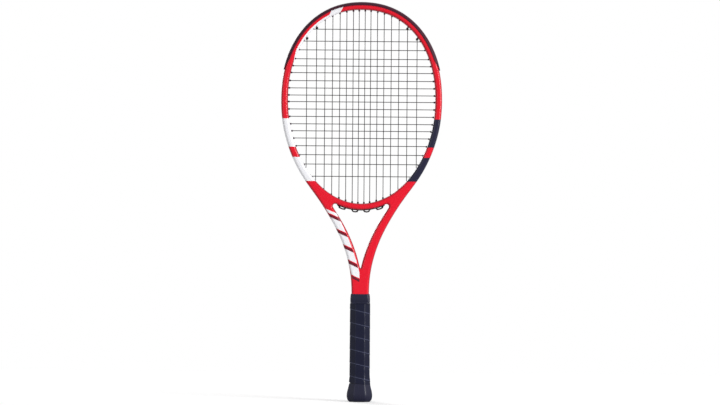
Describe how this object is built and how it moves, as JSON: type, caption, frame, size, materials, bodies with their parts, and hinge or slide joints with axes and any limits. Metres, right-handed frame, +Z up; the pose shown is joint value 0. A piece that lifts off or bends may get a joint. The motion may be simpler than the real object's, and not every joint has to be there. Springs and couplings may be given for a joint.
{
  "type": "tennis racket",
  "caption": "Strung tennis racket with an oval hoop, open throat, wrapped octagonal handle and flared butt cap with a snap-out door.",
  "frame": {"origin": "middle of the butt cap's end face", "axes": "+Z up the handle to the head, +X across the string bed to the right seen from the front, front of the racket faces -Y"},
  "size_m": [0.2758, 0.0394, 0.6852],
  "materials": {
    "frame_paint": "clear-coated paint over moulded composite",
    "bridge_paint": "clear-coated paint over moulded composite",
    "core_foam": "rigid cut foam",
    "bumper_nylon": "satin moulded nylon",
    "grommet_nylon": "satin moulded nylon",
    "string_poly": "drawn monofilament",
    "staple_steel": "bright wire",
    "pallet_foam": "moulded polyurethane",
    "grip_leather": "smooth cushioned polyurethane strip, slight grain",
    "tape": "woven adhesive tape",
    "collar_rubber": "satin rubber",
    "cap_plastic": "satin moulded plastic",
    "door_plastic": "satin moulded plastic"
  },
  "bodies": {
    "racket": {"frame_tube": "frame_paint", "throat_bridge": "bridge_paint", "bridge_core": "core_foam", "bumper_guard": "bumper_nylon", "side_grommets_left": "grommet_nylon", "side_grommets_right": "grommet_nylon", "throat_grommets": "grommet_nylon", "main_string": "string_poly", "cross_string": "string_poly", "main_knots": "string_poly", "cross_knots": "string_poly", "cap_staples": "staple_steel", "grip_tack": "staple_steel", "pallet_front": "pallet_foam", "pallet_rear": "pallet_foam", "grip_wrap": "grip_leather", "finishing_tape": "tape", "butt_cap": "cap_plastic"},
    "cap_door": {"butt_cap_door": "door_plastic"},
    "collar": {"rubber_collar": "collar_rubber"}
  },
  "joints": [
    {"name": "door_slide", "type": "slide", "parent": "racket", "child": "cap_door", "axis": [0, 0, -1], "range_m": [0, 0.012]},
    {"name": "collar_slide", "type": "slide", "parent": "racket", "child": "collar", "axis": [0, 0, 1], "range_m": [0, 0.016]}
  ]
}
